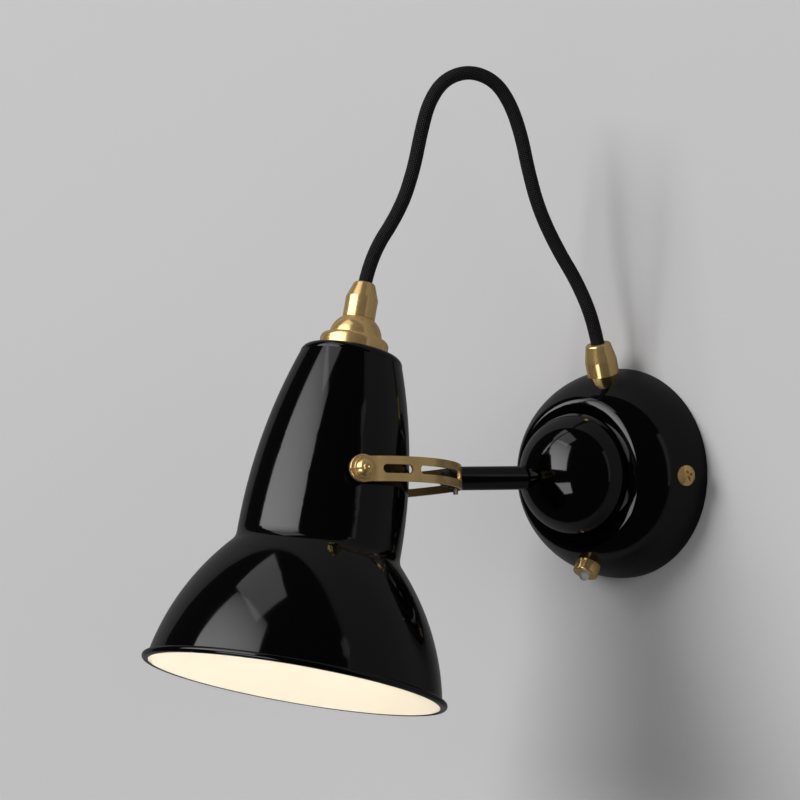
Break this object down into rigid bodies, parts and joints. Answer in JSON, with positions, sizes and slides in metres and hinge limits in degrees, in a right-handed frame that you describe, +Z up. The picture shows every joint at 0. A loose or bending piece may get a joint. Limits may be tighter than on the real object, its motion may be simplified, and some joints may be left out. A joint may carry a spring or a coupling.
{
  "type": "articulating wall lamp",
  "caption": "Wall lamp with a domed cover, swivelling ball, short arm, slotted yoke, tilting bell shade, looped braided cord and a push switch",
  "frame": {"origin": "middle of the back of the wall cover, on the wall", "axes": "+Z up, +Y into the wall, lamp stands out towards -Y, +X to the right of someone facing the wall"},
  "size_m": [0.2027, 0.2709, 0.3475],
  "materials": {
    "black_enamel": "gloss",
    "white_enamel": "satin",
    "brass": "satin",
    "zinc_steel": "brushed",
    "black_steel": "satin",
    "black_braid": "woven",
    "black_plastic": "matte",
    "ivory_plastic": "matte",
    "clear_plastic": "clear",
    "bulb_glass": "frosted"
  },
  "bodies": {
    "root": {"wall_bracket": "zinc_steel", "swivel_fork": "zinc_steel", "fork_screws": "zinc_steel", "swivel_pin": "zinc_steel", "swivel_washers": "zinc_steel", "terminal_block": "ivory_plastic", "terminal_screws": "brass", "wall_cover": "black_enamel", "cover_screws": "brass", "cord_gland": "brass", "gland_nut": "brass", "switch_collar": "brass", "switch_nut": "zinc_steel", "switch_body": "black_plastic", "cord_from_cover": "black_braid"},
    "hub": {"hub_ball": "black_enamel", "swivel_block": "zinc_steel", "retaining_screw": "zinc_steel", "cord_arch": "black_braid"},
    "arm": {"arm_tube": "black_enamel", "arm_plug": "zinc_steel", "yoke_bolt": "black_steel", "yoke_saddle": "black_steel", "lock_pin": "zinc_steel", "yoke_strap": "brass"},
    "shade": {"shade_shell": "black_enamel", "shade_enamel": "white_enamel", "shade_cap": "brass", "cord_grip": "brass", "cap_nipple": "zinc_steel", "lampholder": "black_plastic", "bulb_base": "zinc_steel", "bulb_glass": "bulb_glass", "pivot_knobs": "brass", "pivot_screws": "zinc_steel", "pivot_spacers": "black_steel", "pivot_nuts": "zinc_steel", "cord_to_shade": "black_braid"},
    "button": {"switch_button": "clear_plastic"}
  },
  "joints": [
    {"name": "hub_swivel", "type": "hinge", "parent": "root", "child": "hub", "pos_m": [0, -0.036, 0], "axis": [0, 0, 1], "range_deg": [-10.4, 65.6], "deforming": ["cord_from_cover", "cord_arch"]},
    {"name": "arm_roll", "type": "hinge", "parent": "hub", "child": "arm", "pos_m": [0, -0.036, -0.0014], "axis": [-0.4633, -0.8862, 0], "range_deg": [-20, 20], "deforming": ["cord_arch"]},
    {"name": "shade_tilt", "type": "hinge", "parent": "arm", "child": "shade", "pos_m": [-0.06718, -0.1645, -0.0014], "axis": [-0.8762, 0.4581, -0.1495], "range_deg": [-35, 40], "deforming": ["cord_to_shade"]},
    {"name": "switch_press", "type": "slide", "parent": "root", "child": "button", "axis": [0, 0.5299, 0.848], "range_m": [0, 0.0025], "stiffness_N_per_m": 400}
  ]
}
